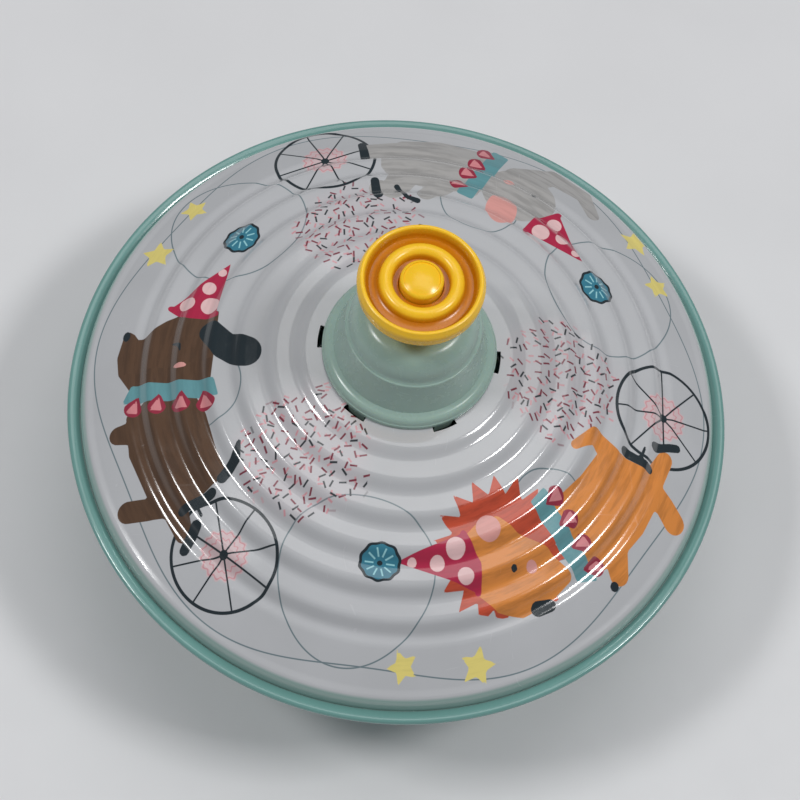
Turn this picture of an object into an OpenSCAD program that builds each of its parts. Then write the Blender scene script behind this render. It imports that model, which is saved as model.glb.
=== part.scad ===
// Tin litho pump spinning top: two pressed tinplate shells seamed at the rim,
// a plastic collar with a one-way clutch, a twisted rod with a knob, and a foot
// on a steel pivot. Millimetres, +Z up, origin on the floor under the axis.

/* [Shells] */
// Diameter over the rolled seam
body_d = 180; // [160:1:200]
// Height of the seam plane above the floor
seam_z = 50; // [48:0.5:54]
// Rise from the seam plane to the flat seat under the collar
crown_h = 32; // [29:0.5:34]
// Tinplate thickness
tin_t = 0.4; // [0.3:0.05:0.5]
// Number of pressed terraces on the upper shell
crown_rings = 6; // [4:1:6]
// Radial width of one terrace
ring_pitch = 8.1; // [7.5:0.1:8.7]
// Number of pressed terraces on the lower shell
bowl_rings = 5; // [3:1:6]

/* [Collar] */
// Radius of the collar's flange
collar_r = 22.5; // [22:0.25:23.5]
// Radius of the collar's shoulder
shoulder_r = 17; // [16.5:0.1:17.5]
// Height of the collar above its seat
collar_h = 22.5; // [21:0.5:23]
// Number of snap lugs, each in its own slot in the tin
lug_count = 6; // [4:1:6]
// Angle of the first lug from +X
lug_turn = 53; // [0:1:59]

/* [Knob] */
// Outer radius of the knob
knob_r = 15.5; // [14.5:0.25:17]
// Height of the knob's rim above the collar seat, pushed down
knob_top = 38.75; // [38:0.25:41]

/* [Drive] */
// Width of the twisted strip
strip_w = 5; // [4.5:0.1:5.2]
// Thickness of the twisted strip
strip_t = 1.6; // [1.4:0.1:1.8]
// Height in which the strip makes one full turn
strip_lead = 32; // [28:1:40]
// Number of ratchet teeth in the clutch
clutch_teeth = 12; // [8:2:16]

/* [Foot] */
// Radius of the foot's resting ring
foot_r = 18; // [16:0.5:22]
// Radius of the steel pivot pin
pin_r = 2; // [1.5:0.1:2.2]

/* [Hidden] */
$fn = 96;

// Levels on the axis
seat_z = seam_z + crown_h;         // top of the tin under the collar
tin_under = seat_z - tin_t;        // underside of that tin
hub_seat_z = 16.5;                 // underside of the tin on the base hub
cup_floor_z = seat_z - 7.5;        // underside of the clutch cup's floor
cup_floor_t = 2;
web_z = seat_z + 3.5;              // underside of the collar's inner web
web_t = 2;
thrust_z = 21.4;                   // socket floor that carries the thrust cap
thrust_t = 1.2;
tube_z0 = thrust_z + thrust_t;
rod_bottom = tube_z0 + 1.2;        // lower end of the strip, pushed down
stop_z0 = rod_bottom + 1.2;
stop_t = 3;
stroke = cup_floor_z - stop_z0 - stop_t;   // travel of the pump rod

// Radii shared by mating pieces
body_r = body_d / 2;
tin_hole_r = 11.5;                 // hole in the crown for the clutch cup
bowl_hole_r = 9.2;                 // hole in the bowl for the base hub
hub_r = bowl_hole_r - 0.1;
seat_r = 24.4;                     // outer edge of the flat collar seat
tube_r = 7;
tube_bore = 5.6;
push_fit = 0.03;                   // radial gap of pieces pushed together
rod_way = strip_w / 2 + 0.8;       // clear hole for the turning strip
cup_bore = 9.2;
cup_wall = 1.6;
screw_ring = 15.5;                 // radius of the clutch screws' circle
screw_count = 3;
screw_turn = lug_turn + 30;
screw_r = 1.25;
lug_in = 20.7;
lug_t = 1.5;
lug_w = 5;
slot_out = 23.6;                   // outer edge of the lug slots
slot_w = 6.2;
neck_bore = 9.2;                   // collar's neck, round the knob's stem
stem_r = 8.6;
knob_z = seat_z + knob_top;        // rim of the knob
stem_z = web_z + web_t + 3;        // lower end of the knob's stem
core_r = 4.8;
core_bore = strip_w / 2 + 0.25;
cap_r = 5.3;

// Rounded step from 0 to 1 between a and b
function smooth(a, b, x) = let (t = max(0, min(1, (x - a) / (b - a)))) t * t * (3 - 2 * t);

// Share of one terrace's drop at a fraction u of its width: a shallow tread, then a riser
tread = 0.28;
riser_from = 0.26;
riser_to = 0.74;
riser_steps = [for (i = [0 : 6]) riser_from + (riser_to - riser_from) * i / 6];
function terrace(u) = tread * u + (1 - tread) * smooth(riser_from, riser_to, u);

// Radius at which a terraced slope has dropped as far as a plain one at r
function stepped(r, r0, pitch, count) =
    let (k = floor((r - r0) / pitch))
    (k < 0 || k >= count) ? r : r0 + pitch * (k + terrace((r - r0) / pitch - k));

// Crown: height of the outer face above the seam plane
skirt_r = body_r - 7;              // where the crown turns down to the seam
skirt_h = 5.6;
crown_bend = 1.35;                 // exponent of the slope, 1 is a plain cone
function crown_plain(r) =
    crown_h - (crown_h - skirt_h) * pow(max(0, r - seat_r) / (skirt_r - seat_r), crown_bend);
function crown_z(r) = crown_plain(stepped(r, seat_r, ring_pitch, crown_rings));

// Bowl: depth of the outer face below the seam plane
bowl_seat_r = 16;
bowl_pitch = 7;
bowl_r0 = 24;
bowl_depth = seam_z - hub_seat_z;
bowl_skirt = 6;
bowl_bend = 1.25;
function bowl_plain(r) =
    -bowl_depth + (bowl_depth - bowl_skirt)
    * pow(max(0, r - bowl_seat_r) / (skirt_r - bowl_seat_r), bowl_bend);
function bowl_z(r) = bowl_plain(stepped(r, bowl_r0, bowl_pitch, bowl_rings));

// Radii at which a terraced face is sampled
function radii(r0, pitch, count, r_end) = concat(
    [for (k = [0 : count - 1]) for (u = concat(0, riser_steps)) r0 + pitch * (k + u)],
    [for (i = [0 : 5]) let (a = r0 + pitch * count) a + (r_end - a) * i / 5]);

// Quarter turn of the skirt from (skirt_r, h) down to the flange at z
function skirt(h, flange) = [for (a = [18 : 18 : 90])
    [skirt_r + 3.7 * sin(a) * 0.95, flange + (h - flange) * cos(a)]];

// Seam: the bowl's edge is rolled over the crown's flange
flange_top = 0.1;                  // top of the crown's flange, from the seam plane
flange_r = body_r - 1.8;
curl_r = 1;
curl_c = [body_r - curl_r, 0.3];
hem_in = body_r - 3.3;              // inner edge of the hem

module at_each(count, r, turn = 0)
    for (i = [0 : count - 1]) rotate(turn + i * 360 / count) translate([r, 0, 0]) children();

// ---- shells ----

module upper_shell() {
    rs = radii(seat_r, ring_pitch, crown_rings, skirt_r);
    outer = concat([[tin_hole_r, crown_h]],
                   [for (r = rs) [r, crown_z(r)]],
                   skirt(crown_plain(skirt_r), flange_top),
                   [[flange_r, flange_top]]);
    n = len(outer);
    inner = [for (i = [n - 1 : -1 : 0]) [outer[i][0] - (i >= n - 6 && i < n - 1 ? tin_t * 0.8 : 0),
                                        outer[i][1] - tin_t]];
    color("white") translate([0, 0, seam_z]) difference() {
        rotate_extrude() polygon(concat(outer, inner));
        at_each(lug_count, (lug_in + slot_out) / 2, lug_turn)
            translate([0, 0, crown_h])
                cube([slot_out - lug_in + 0.2, slot_w, 4], center = true);
        at_each(screw_count, screw_ring, screw_turn)
            translate([0, 0, crown_h - 2]) cylinder(r = screw_r + 0.35, h = 4, $fn = 32);
    }
}

module lower_shell() {
    rs = radii(bowl_r0, bowl_pitch, bowl_rings, skirt_r);
    under = concat([[bowl_hole_r, -bowl_depth], [bowl_seat_r, -bowl_depth]],
                   [for (r = rs) [r, bowl_z(r)]],
                   skirt(bowl_plain(skirt_r), flange_top - 2 * tin_t));
    n = len(under);
    flange = [for (a = [-90 : 15 : 90]) curl_c + curl_r * [cos(a), sin(a)]];
    fold = [[hem_in, flange_top + tin_t], [hem_in, flange_top]];
    inside = [for (a = [90 : -15 : -90]) curl_c + (curl_r - tin_t) * [cos(a), sin(a)]];
    over = [for (i = [n - 1 : -1 : 0]) [under[i][0] - (i >= n - 5 ? tin_t * 0.8 : 0),
                                       under[i][1] + tin_t]];
    color("mediumaquamarine") translate([0, 0, seam_z])
        rotate_extrude() polygon(concat(under, flange, fold, inside, over));
}

// ---- collar and clutch ----

module collar() {
    flange_t = 1.6;
    wall = 1.8;
    wall_r = collar_r - 2.8;       // foot of the wall
    shoulder_z = 14.5;
    neck_r = neck_bore + wall;
    outer = concat(
        [[collar_r, 0], [collar_r, flange_t]],
        [for (a = [0 : 15 : 75]) [collar_r - 2.4 + 2.4 * cos(a), flange_t + 2.2 * sin(a)]],
        [[wall_r, flange_t + 2.6], [shoulder_r, shoulder_z], [shoulder_r - 0.7, shoulder_z + 0.4]],
        [for (a = [15 : 15 : 75]) [neck_r + (shoulder_r - 0.7 - neck_r) * cos(a),
                                   shoulder_z + 0.4 + (collar_h - shoulder_z - 0.4) * sin(a)]],
        [[neck_r, collar_h]]);
    inner = [[neck_bore, collar_h], [neck_bore, collar_h - wall],
             [neck_bore + 3.2, collar_h - wall - 0.5],
             [shoulder_r - wall, shoulder_z - 1.1], [wall_r - wall, flange_t + 1.5],
             [wall_r - wall, 0]];
    color("mediumaquamarine") translate([0, 0, seat_z]) {
        difference() {
            union() {
                rotate_extrude() polygon(concat(outer, inner));
                translate([0, 0, web_z - seat_z]) cylinder(r = wall_r - wall + 0.3, h = web_t);
                at_each(screw_count, screw_ring, screw_turn) cylinder(r = 2.6, h = 9, $fn = 48);
            }
            translate([0, 0, web_z - seat_z - 1]) cylinder(r = rod_way, h = web_t + 2);
            at_each(screw_count, screw_ring, screw_turn)
                translate([0, 0, -1]) cylinder(r = screw_r + 0.03, h = 9.2, $fn = 32);
        }
        at_each(lug_count, lug_in, lug_turn) snap_lug();
    }
}

// A leg through the tin with a hook that points to the axis
module snap_lug() {
    rotate([90, 0, 0]) translate([0, 0, -lug_w / 2]) linear_extrude(lug_w)
        polygon([[0, 0], [lug_t, 0], [lug_t, -3.4], [0, -3.4],
                 [-1.2, -tin_t - 0.9], [-1.2, -tin_t - 0.05], [0, -tin_t - 0.05]]);
}

module clutch_cup() {
    low = cup_floor_z - seat_z;
    rim = web_z - seat_z;
    color("gainsboro") translate([0, 0, seat_z]) difference() {
        union() {
            rotate_extrude() polygon([
                [rod_way, low], [tube_r, low], [tube_r, low - 8], [tube_r + 1.6, low - 8],
                [tube_r + 1.6, low - 0.6], [cup_bore + cup_wall, low + 1.2],
                [cup_bore + cup_wall, -tin_t - 1.8], [lug_in - 1.9, -tin_t - 1.8],
                [lug_in - 1.9, -tin_t], [cup_bore + cup_wall, -tin_t],
                [cup_bore + cup_wall, rim], [cup_bore, rim],
                [cup_bore, low + cup_floor_t], [rod_way, low + cup_floor_t]]);
            translate([0, 0, low + cup_floor_t]) teeth(cup_bore - 0.5, 1.4, 1);
        }
        at_each(screw_count, screw_ring, screw_turn)
            translate([0, 0, -4]) cylinder(r = screw_r + 0.15, h = 4, $fn = 32);
    }
}

// Ring of ratchet teeth, each an upright face and a ramp; side -1 points them down
module teeth(r_out, h, side) {
    step = 360 / clutch_teeth;
    tall = side * 0.43 * 2 * PI * 6.4 / clutch_teeth;
    for (i = [0 : clutch_teeth - 1]) rotate(i * step) translate([4.6, 0, 0])
        rotate([90, 0, 90]) linear_extrude(r_out - 4.6 - 0.3)
            polygon([[-tall, -side * 0.2], [tall, -side * 0.2], [tall, side * h],
                     [-tall, side * h * 0.12]]);
}

nut_top = web_z - 0.3;
nut_bottom = cup_floor_z + cup_floor_t + 1.4 + 1.4 + 0.3;
plate_z = nut_top - 1.7;
plate_t = 1.2;
plate_af = 11;

module drive_nut() {
    color("ivory") {
        difference() {
            translate([0, 0, nut_bottom]) cylinder(r = cup_bore - 0.6, h = nut_top - nut_bottom);
            translate([0, 0, nut_bottom - 1]) cylinder(r = rod_way, h = 12);
            translate([0, 0, plate_z]) cylinder(r = plate_af / sqrt(3), h = 4, $fn = 6);
        }
        translate([0, 0, nut_bottom]) teeth(cup_bore - 0.5, 1.4, -1);
    }
}

// Hexagonal steel plate whose slot turns with the strip
module slot_plate() {
    slot_l = strip_w + 0.5;
    slot_h = strip_t + 0.9;
    color("silver") translate([0, 0, plate_z]) difference() {
        cylinder(r = (plate_af - 0.06) / sqrt(3), h = plate_t, $fn = 6);
        rotate(strip_turn(plate_z + plate_t / 2))
            cube([slot_l, slot_h, 4 * plate_t], center = true);
    }
}

module clutch_screws() {
    color("silver") at_each(screw_count, screw_ring, screw_turn)
        translate([0, 0, tin_under - 1.8]) {
            translate([0, 0, 0]) cylinder(r = screw_r, h = 9, $fn = 32);
            difference() {
                translate([0, 0, -1.5]) cylinder(r = 2.4, h = 1.5, $fn = 32);
                translate([0, 0, -1.3]) cube([3.2, 0.6, 1.2], center = true);
                translate([0, 0, -1.3]) cube([0.6, 3.2, 1.2], center = true);
            }
        }
}

// ---- centre column ----

module centre_tube() {
    color("gainsboro") translate([0, 0, tube_z0]) difference() {
        cylinder(r = tube_r - push_fit, h = cup_floor_z - tube_z0);
        translate([0, 0, -1]) cylinder(r = tube_bore, h = cup_floor_z - tube_z0 + 2);
    }
}

bush_z0 = 13.8;
bush_z1 = 18.9;
bush_r = 4;
clip_z = bush_z1 + 0.35;
clip_t = 0.8;

module base_hub() {
    color("gold") rotate_extrude() polygon([
        [bush_r, bush_z0 + 0.4], [13.4, bush_z0 + 0.4], [15, bush_z0 + 1.2],
        [15, hub_seat_z], [hub_r, hub_seat_z], [hub_r, 31], [tube_r, 31],
        [tube_r, thrust_z], [4.8, thrust_z], [4.8, bush_z1], [bush_r, bush_z1]]);
}

// Push-on ring that clamps the bowl against the hub's flange
module hub_ring() {
    color("silver") translate([0, 0, hub_seat_z + tin_t]) difference() {
        cylinder(r = 14.5, h = 0.6);
        translate([0, 0, -1]) cylinder(r = hub_r + push_fit, h = 3);
        at_each(8, bowl_hole_r + 0.8) cube([4, 0.9, 3], center = true);
    }
}

module pin_bush() {
    color("goldenrod") translate([0, 0, bush_z0]) difference() {
        union() {
            cylinder(r = bush_r, h = bush_z1 - bush_z0);
            cylinder(r = bush_r + 1.6, h = 0.4);
        }
        translate([0, 0, -1]) cylinder(r = pin_r + 0.05, h = bush_z1 - bush_z0 + 2);
    }
}

module thrust_cap() {
    color("silver") translate([0, 0, thrust_z]) rotate_extrude() polygon([
        [0, 0], [tube_r - 0.05, 0], [tube_r - 0.05, thrust_t], [0, thrust_t]]);
}

// ---- foot ----

module foot_base() {
    color("gold") difference() {
        rotate_extrude() polygon(concat(
            [[0, 1.2], [foot_r - 5.8, 1.2], [foot_r - 5.2, 0], [foot_r - 0.7, 0],
             [foot_r - 0.2, 0.2], [foot_r, 0.7], [foot_r, 2.4], [foot_r - 0.3, 2.9],
             [foot_r - 0.8, 3.2]],
            [for (a = [0 : 12 : 72]) [foot_r - 2.2 - 7.6 * sin(a), 12.6 - 9.2 * cos(a)]],
            [[8, 12.2], [7.7, 12.9], [7.2, 13.2], [0, 13.2]]));
        translate([0, 0, 3]) cylinder(r = pin_r, h = 12, $fn = 48);
    }
}

module pivot_pin() {
    groove = clip_z - 0.05;
    color("silver") rotate_extrude($fn = 48) polygon([
        [0, 3], [pin_r, 3], [pin_r, groove], [pin_r - 0.5, groove],
        [pin_r - 0.5, groove + clip_t + 0.1], [pin_r, groove + clip_t + 0.1],
        [pin_r, thrust_z - 0.75], [pin_r * 0.7, thrust_z - 0.25], [pin_r * 0.3, thrust_z - 0.06],
        [0, thrust_z - 0.05]]);
}

// E-clip in the pin's groove, which keeps the foot on
module pin_clip() {
    color("dimgray") translate([0, 0, clip_z]) difference() {
        cylinder(r = 3.6, h = clip_t, $fn = 48);
        translate([0, 0, -1]) cylinder(r = pin_r - 0.5, h = 3, $fn = 48);
        translate([2.5, 0, 0]) cube([5, 2 * pin_r - 1.1, 3], center = true);
    }
}

// ---- knob and rod ----

module knob() {
    rim = knob_z;
    under = rim - 7.4;             // underside at the stem's flare
    wall = 2;
    color("gold") difference() {
        union() {
            rotate_extrude() polygon(concat(
                [[cap_r + 0.1, rim - 5.2], [cap_r + 0.1, rim - 2.6], [6.8, rim - 2.6]],
                [for (a = [180 : -30 : 0]) [8.65 + 1.75 * cos(a), rim - 1.95 + 1.9 * sin(a)]],
                [[10.6, rim - 2.7], [knob_r - 2.9, rim - 2.8], [knob_r - 2.3, rim - 2.2],
                 [knob_r - 1.8, rim - 0.7], [knob_r - 1.2, rim], [knob_r - 0.7, rim - 0.15],
                 [knob_r - 0.3, rim - 0.7], [knob_r, rim - 1.9], [knob_r, rim - 2.8],
                 [knob_r - 0.2, rim - 4.4], [knob_r - 0.9, rim - 5.5], [knob_r - 2.2, rim - 6.4],
                 [11.4, under], [stem_r + 0.5, under - 2.2], [stem_r, under - 3.8],
                 [stem_r - 0.6, stem_z + 0.8], [stem_r - 1, stem_z], [stem_r - wall - 0.4, stem_z],
                 [stem_r - wall, under - 4], [11, rim - 5.4], [core_r, rim - 5.4], [core_r, stem_z],
                 [core_bore, stem_z], [core_bore, rim - 5.2]]));
            at_each(4, 0) translate([core_r - 0.4, -0.6, stem_z + 1])
                cube([stem_r - wall - core_r + 0.9, 1.2, rim - 6.4 - stem_z]);
        }
    }
}

// Button in the middle of the knob, over the riveted end of the rod
module knob_cap() {
    z = knob_z - 3.8;
    color("gold") translate([0, 0, z]) rotate_extrude() polygon([
        [0, 0.9], [3.2, 0.9], [3.2, 0], [cap_r, 0], [cap_r, 3.3], [cap_r - 0.3, 3.9],
        [cap_r - 1, 4.2], [cap_r * 0.5, 4.5], [0, 4.6]]);
}

// Angle of the strip's wide side at height z, pushed down
function strip_turn(z) = -(z - rod_bottom) * 360 / strip_lead;

rod_top = knob_z - 3.9;

module spiral_rod() {
    length = rod_top - rod_bottom;
    color("silver") translate([0, 0, rod_bottom])
        linear_extrude(height = length, twist = length * 360 / strip_lead, slices = 132, $fn = 8)
            square([strip_w, strip_t], center = true);
}

// Collet crimped on the lower end of the strip, which stops against the clutch cup
module rod_stop() {
    color("dimgray") translate([0, 0, stop_z0]) difference() {
        rotate_extrude() polygon([[0, 0], [4.2, 0], [5, 0.8], [5, stop_t], [0, stop_t]]);
        translate([0, 0, -1]) cylinder(r = core_bore, h = stop_t + 2);
    }
}

// Washer under the riveted end of the strip
module rod_washer() {
    color("silver") translate([0, 0, knob_z - 5.2]) difference() {
        cylinder(r = cap_r - 0.3, h = 1);
        translate([0, 0, -1]) cylinder(r = core_bore, h = 3);
    }
}

foot_base();
pivot_pin();
pin_clip();
lower_shell();
upper_shell();
base_hub();
hub_ring();
pin_bush();
thrust_cap();
centre_tube();
clutch_cup();
clutch_screws();
collar();
drive_nut();
slot_plate();
knob();
knob_cap();
spiral_rod();
rod_stop();
rod_washer();
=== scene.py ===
"""Tin litho pump spinning top, drawn over its CAD frame: printed tinplate shells, moulded collar,
knob and foot, and the twisted rod that drives them. Shapes and patterns are worked out in
millimetres, +Z up, and put into the meshes in metres."""
import math
import bpy
import numpy as np
from mathutils import Matrix, Vector


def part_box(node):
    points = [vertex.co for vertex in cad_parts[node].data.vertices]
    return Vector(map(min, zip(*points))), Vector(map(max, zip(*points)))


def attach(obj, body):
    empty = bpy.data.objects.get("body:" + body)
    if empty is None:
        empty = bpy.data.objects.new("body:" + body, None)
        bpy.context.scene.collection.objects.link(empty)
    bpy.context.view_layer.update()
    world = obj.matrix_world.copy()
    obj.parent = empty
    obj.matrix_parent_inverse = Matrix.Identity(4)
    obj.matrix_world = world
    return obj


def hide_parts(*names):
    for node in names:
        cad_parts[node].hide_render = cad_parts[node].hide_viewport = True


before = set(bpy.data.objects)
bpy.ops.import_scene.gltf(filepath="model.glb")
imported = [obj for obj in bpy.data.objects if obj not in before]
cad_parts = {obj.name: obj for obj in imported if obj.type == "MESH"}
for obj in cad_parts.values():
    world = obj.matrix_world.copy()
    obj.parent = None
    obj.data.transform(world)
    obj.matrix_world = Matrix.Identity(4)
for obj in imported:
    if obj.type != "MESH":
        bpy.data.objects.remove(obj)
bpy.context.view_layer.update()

MM = 0.001
TAU = 2 * math.pi


def low_high(node):
    """Lowest and highest corner of a CAD node, in millimetres."""
    low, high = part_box(node)
    return np.array(low) / MM, np.array(high) / MM


# -------------------- sizes taken from the frame
TIN = 0.4
BODY_R = low_high("lower_shell")[1][0]
SEAM = low_high("upper_shell")[0][2] + 0.3  # plane of the rolled seam
SEAT = low_high("upper_shell")[1][2]  # flat of the crown under the collar
BOWL_FLOOR = low_high("lower_shell")[0][2]
COLLAR_R = low_high("collar")[1][0]
KNOB_R = low_high("knob")[1][0]
KNOB_RIM = low_high("knob")[1][2]
STEM_FOOT = low_high("knob")[0][2]
ROD_LOW, ROD_HIGH = (corner[2] for corner in low_high("spiral_rod"))
FOOT_R, FOOT_TOP = low_high("foot_base")[1][[0, 2]]

SKIRT_R = BODY_R - 7  # where both shells turn towards the seam
EDGE_REACH = 3.515  # how far that turn goes out
FLANGE_R = BODY_R - 2.6  # where both flanges start to lie flat
CROWN_HOLE = 11.5  # radius of the hole for the clutch
SEAT_R = 24.4  # where the flat seat ends and the rings start
LUG_TURN = 53  # degrees from +X to the first lug
LUG_COUNT = 6
LUG_R = 20.7  # radius of a lug's inner face
SCREW_COUNT, SCREW_R = 3, 15.5
SLOT_IN, SLOT_OUT = 20.6, 23.7
SLOT_CELLS = 13  # half a slot's width, in cells of the crown's grid
CROWN_CELLS = 600


# -------------------- mesh building
SHARP_EDGE = 35  # degrees over which an edge isn't smoothed


def new_piece(name, shape, material, body, node):
    """A mesh object from (vertices in millimetres, faces), smooth except at its sharp edges."""
    vertices, faces = shape
    mesh = bpy.data.meshes.new(name)
    mesh.from_pydata((np.asarray(vertices) * MM).tolist(), [], faces)
    mesh.polygons.foreach_set("use_smooth", np.ones(len(mesh.polygons), bool))
    mesh.set_sharp_from_angle(angle=math.radians(SHARP_EDGE))
    mesh.materials.append(material)
    piece = bpy.data.objects.new(name, mesh)
    bpy.context.scene.collection.objects.link(piece)
    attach(piece, body)
    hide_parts(node)
    return piece


def lathe(profile, cells):
    """Vertices and faces of a profile of (radius, height) points turned about Z. Point i at step j
    is (r_i cos t_j, r_i sin t_j, z_i), t_j = TAU j / cells. The profile runs anticlockwise, radius
    to the right, so faces point outwards. It closes on itself, or ends on the axis at both ends."""
    profile = np.asarray(profile, float)
    on_axis = profile[:, 0] < 1e-6
    rows = profile[~on_axis]
    turn = TAU * np.arange(cells) / cells
    vertices = np.stack([np.outer(rows[:, 0], np.cos(turn)), np.outer(rows[:, 0], np.sin(turn)),
                         np.repeat(rows[:, 1:], cells, 1)], 2).reshape(-1, 3)
    count = len(rows)
    here = np.arange(count * cells).reshape(count, cells)
    beside = np.roll(here, -1, 1)
    above, above_beside = np.roll(here, -1, 0), np.roll(beside, -1, 0)
    quads = np.stack([here, beside, above_beside, above], 2)
    if not on_axis.any():
        return vertices, quads.reshape(-1, 4).tolist()
    bottom, top = len(vertices), len(vertices) + 1
    vertices = np.vstack([vertices, [0, 0, profile[0, 1]], [0, 0, profile[-1, 1]]])
    fans = [[bottom, b, a] for a, b in zip(here[0].tolist(), beside[0].tolist())]
    fans += [[top, a, b] for a, b in zip(here[-1].tolist(), beside[-1].tolist())]
    return vertices, quads[:-1].reshape(-1, 4).tolist() + fans


def arc(centre, radii, start, end, steps):
    """Points of an ellipse's arc between two angles in degrees, both ends included."""
    angle = np.radians(np.linspace(start, end, steps + 1))
    return np.stack([centre[0] + radii[0] * np.cos(angle), centre[1] + radii[1] * np.sin(angle)], 1)


def join(*parts):
    """One profile from points and runs of points."""
    return np.vstack([np.atleast_2d(np.asarray(part, float)) for part in parts])


def sunk(profile, depth):
    """The profile moved `depth` to its right-hand side, by its own normals."""
    along = np.gradient(profile, axis=0)
    along /= np.linalg.norm(along, axis=1)[:, None]
    return profile + depth * np.stack([along[:, 1], -along[:, 0]], 1)


def merged(*meshes):
    """Several (vertices, faces) pairs as one."""
    vertices, faces, base = [], [], 0
    for points, sides in meshes:
        vertices.append(np.asarray(points, float))
        faces += [[base + corner for corner in side] for side in sides]
        base += len(points)
    return np.vstack(vertices), faces


def turned_about_z(mesh, degrees):
    """The (vertices, faces) pair turned about Z."""
    spin = np.array(Matrix.Rotation(math.radians(degrees), 3, "Z"))
    return mesh[0] @ spin.T, mesh[1]


def prism(outline, across):
    """A slab: an anticlockwise outline of (x, z) points carried from y = -across to across."""
    outline = np.asarray(outline, float)
    count = len(outline)
    sides = [np.stack([outline[:, 0], np.full(count, y), outline[:, 1]], 1)
             for y in (-across, across)]
    faces = [list(range(count)), list(range(2 * count - 1, count - 1, -1))]
    faces += [[(i + 1) % count, i, count + i, count + (i + 1) % count] for i in range(count)]
    return np.vstack(sides), faces


# -------------------- the shells' shapes
def smooth(low, high, x):
    """Rounded step from 0 to 1 between low and high."""
    t = np.clip((x - low) / (high - low), 0, 1)
    return t * t * (3 - 2 * t)


def stepped(radius, first, pitch, count):
    """Radius at which a plain slope has dropped as far as the terraced one has at `radius`: each
    terrace drops evenly over its whole width, and most in the rounded riser at its middle."""
    place = (radius - first) / pitch
    index = np.clip(np.floor(place), 0, count)
    share = place - index
    tread = 0.28  # share of a terrace's drop that is even
    fallen = tread * share + (1 - tread) * smooth(0.26, 0.74, share)
    return np.where((place < 0) | (place >= count), radius, first + pitch * (index + fallen))


def slope(radius, start, drop, bend):
    """Plain drop from `start` out to the skirt, as a power of the way there."""
    return drop * np.clip((radius - start) / (SKIRT_R - start), 0, None) ** bend


RING_PITCH, RINGS = 8.1, 6
CROWN_BEND = 1.35  # power of the crown's slope
BOWL_FIRST, BOWL_PITCH, BOWL_RINGS = 24, 7, 5
BOWL_FLAT_R, BOWL_BEND = 16, 1.25


def crown_rows(per_ring, on_slope, on_skirt):
    """The crown's outer face from the hole's edge to the flange, as (radius, height) points."""
    seat = [CROWN_HOLE, 13, 17, SLOT_IN, (SLOT_IN + SLOT_OUT) / 2, SLOT_OUT]
    rings = SEAT_R + RING_PITCH * np.arange(RINGS * per_ring + 1) / per_ring
    outside = np.linspace(rings[-1], SKIRT_R, on_slope + 1)[1:]
    radius = np.concatenate([seat, rings, outside])
    crown, skirt, gap = SEAT - SEAM, 5.6, 0.1  # heights over the seam's plane
    terraced = stepped(radius, SEAT_R, RING_PITCH, RINGS)
    height = crown - slope(terraced, SEAT_R, crown - skirt, CROWN_BEND)
    turn = np.radians(np.linspace(0, 90, on_skirt + 1)[1:])
    edge = np.stack([SKIRT_R + EDGE_REACH * np.sin(turn), gap + (skirt - gap) * np.cos(turn)], 1)
    flange = [[FLANGE_R, gap], [FLANGE_R + 0.8, gap]]
    return join(np.stack([radius, height], 1), edge, flange) + [0, SEAM]


def bowl_rows(per_ring, on_slope, on_skirt):
    """The bowl's outer face from the hole's edge to the foot of the curl."""
    rings = BOWL_FIRST + BOWL_PITCH * np.arange(BOWL_RINGS * per_ring + 1) / per_ring
    radius = np.concatenate([[9.2, 12, 16, 19, 22], rings,
                             np.linspace(rings[-1], SKIRT_R, on_slope + 1)[1:]])
    depth, skirt, gap = SEAM - BOWL_FLOOR, 6, 0.7  # depths under the seam's plane
    terraced = stepped(radius, BOWL_FIRST, BOWL_PITCH, BOWL_RINGS)
    height = slope(terraced, BOWL_FLAT_R, depth - skirt, BOWL_BEND) - depth
    turn = np.radians(np.linspace(0, 90, on_skirt + 1)[1:])
    edge = np.stack([SKIRT_R + EDGE_REACH * np.sin(turn), -gap - (skirt - gap) * np.cos(turn)], 1)
    return join(np.stack([radius, height], 1), edge) + [0, SEAM]


def crown_mesh():
    """The crown as one lathe: under face outwards, flange edge, outer face inwards, hole wall. Six
    slots are taken out of the flat seat and given walls. Also returns how many rows are under."""
    top = crown_rows(12, 14, 7)
    under = sunk(crown_rows(6, 6, 4), TIN)
    profile = join(under, top[::-1])
    vertices, faces = lathe(profile, CROWN_CELLS)
    faces = np.array(faces).reshape(len(profile), CROWN_CELLS, 4)
    kept = np.ones(faces.shape[:2], bool)
    bounds = (3, 4, 5)  # rows at a slot's inner edge, middle and outer edge
    last = len(profile) - 1
    walls = []

    def wall(row, column, next_row, next_column):
        """A face through the tin, between two places on the under face and those above them."""
        return [at * CROWN_CELLS + across % CROWN_CELLS for at, across in (
            (row, column), (last - row, column), (last - next_row, next_column),
            (next_row, next_column))]

    for slot in range(LUG_COUNT):
        middle = round((LUG_TURN + slot * 360 / LUG_COUNT) * CROWN_CELLS / 360)
        first, after = middle - SLOT_CELLS, middle + SLOT_CELLS
        columns = np.arange(first, after) % CROWN_CELLS
        kept[np.ix_([bounds[0], bounds[1], last - bounds[2], last - bounds[1]], columns)] = False
        for near, far in zip(bounds, bounds[1:]):
            walls += [wall(near, first, far, first), wall(far, after, near, after)]
        for column in range(first, after):
            walls += [wall(bounds[0], column + 1, bounds[0], column),
                      wall(bounds[2], column, bounds[2], column + 1)]
    return vertices, faces[kept].tolist() + walls, profile, len(under)


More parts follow.
